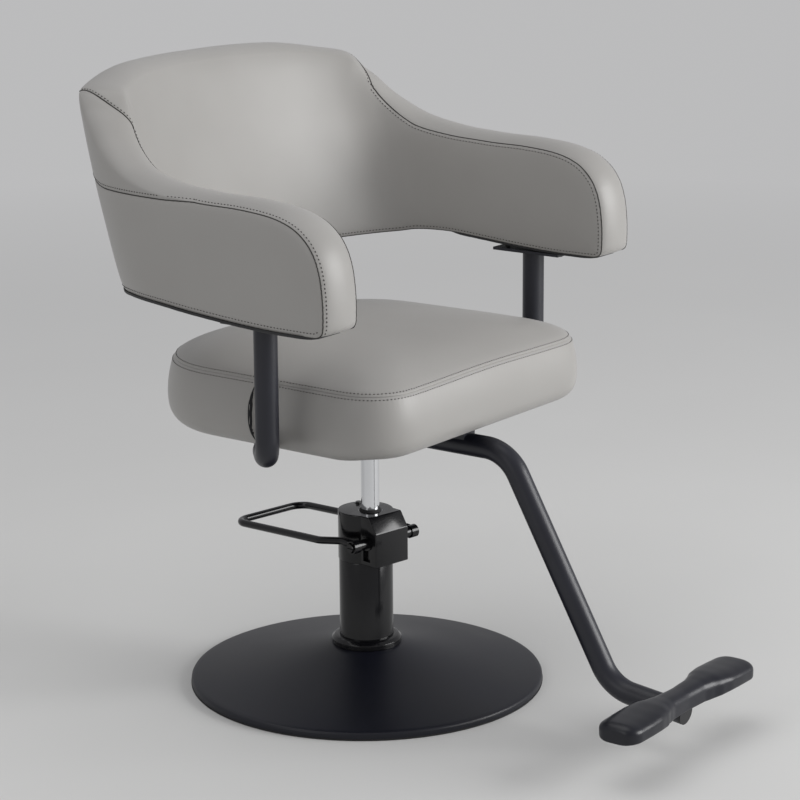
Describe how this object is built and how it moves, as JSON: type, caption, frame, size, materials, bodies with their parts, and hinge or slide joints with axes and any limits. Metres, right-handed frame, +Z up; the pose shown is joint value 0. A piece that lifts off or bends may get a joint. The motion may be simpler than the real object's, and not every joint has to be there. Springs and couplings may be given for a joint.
{
  "type": "styling chair",
  "caption": "Upholstered salon styling chair with wraparound arms, round base, foot-pumped lift column and T-bar footrest.",
  "frame": {"origin": "middle of the base on the floor", "axes": "+Z up, the sitter faces -Y, +X to the left hand of the sitter"},
  "size_m": [0.712, 0.8697, 0.874],
  "materials": {
    "leatherette": "satin, fine grain",
    "plywood": "raw",
    "lining": "matte",
    "chrome": "polished",
    "bright_steel": "turned",
    "rubber": "matte",
    "moulding": "satin",
    "plastic": "matte",
    "gloss_black": "gloss",
    "zinc": "plated",
    "satin_black": "satin powder coat"
  },
  "bodies": {
    "base": {"base_ballast_plate": "satin_black", "base_bolts": "zinc", "base_disc": "satin_black", "base_edge_ring": "rubber", "base_spacers": "satin_black", "column_collar": "gloss_black", "column_flange": "satin_black", "column_tube": "gloss_black", "cylinder_liner": "bright_steel", "foot_valve_block": "bright_steel", "gland_bush": "bright_steel", "oil_filler_screw": "gloss_black", "pedal_bushes": "gloss_black", "pump_head": "gloss_black", "release_valve": "bright_steel", "rod_wiper": "rubber", "suction_pipe": "bright_steel"},
    "pedal": {"pedal_shaft": "gloss_black", "pedal_hubs": "gloss_black", "pedal_loop": "gloss_black", "pedal_cap_screws": "gloss_black", "pedal_lever": "gloss_black"},
    "plunger": {"pump_plunger": "bright_steel"},
    "ram": {"piston_rod": "chrome", "piston_head": "bright_steel", "piston_seal": "rubber"},
    "seat": {"arm_core_left": "plywood", "arm_core_right": "plywood", "arm_plate_left": "satin_black", "arm_plate_right": "satin_black", "arm_screws_left": "zinc", "arm_screws_right": "zinc", "arm_strip_left": "plastic", "arm_strip_right": "plastic", "arm_tube_bolts": "zinc", "arm_tube_left": "satin_black", "arm_tube_right": "satin_black", "back_upholstery": "leatherette", "dust_cover": "lining", "footrest_bar": "moulding", "footrest_bracket": "satin_black", "footrest_bracket_bolts": "zinc", "footrest_end_cap": "plastic", "footrest_tube": "satin_black", "mount_bolts": "zinc", "seat_board": "plywood", "seat_cushion": "leatherette", "seat_mount_plate": "satin_black", "seat_socket": "bright_steel"}
  },
  "joints": [
    {"name": "seat_lift", "type": "slide", "parent": "base", "child": "ram", "axis": [0, 0, 1], "range_m": [-0.02, 0.13]},
    {"name": "seat_swivel", "type": "hinge", "parent": "ram", "child": "seat", "pos_m": [-0.00174, -0.00985, 0.392], "axis": [0, 0, 1], "continuous": true},
    {"name": "pedal_swing", "type": "hinge", "parent": "base", "child": "pedal", "pos_m": [-0.00625, -0.03545, 0.213], "axis": [0.9848, -0.1736, 0], "range_deg": [-20, 0], "stiffness_Nm_per_rad": 6, "springref_deg": 6.88},
    {"name": "plunger_stroke", "type": "slide", "parent": "base", "child": "plunger", "axis": [0, 0, 1], "range_m": [-0.0094, 0.0005]}
  ],
  "couplings": [
    {"joint": "plunger_stroke", "follows": "pedal_swing", "m_per_rad": 0.0264}
  ]
}
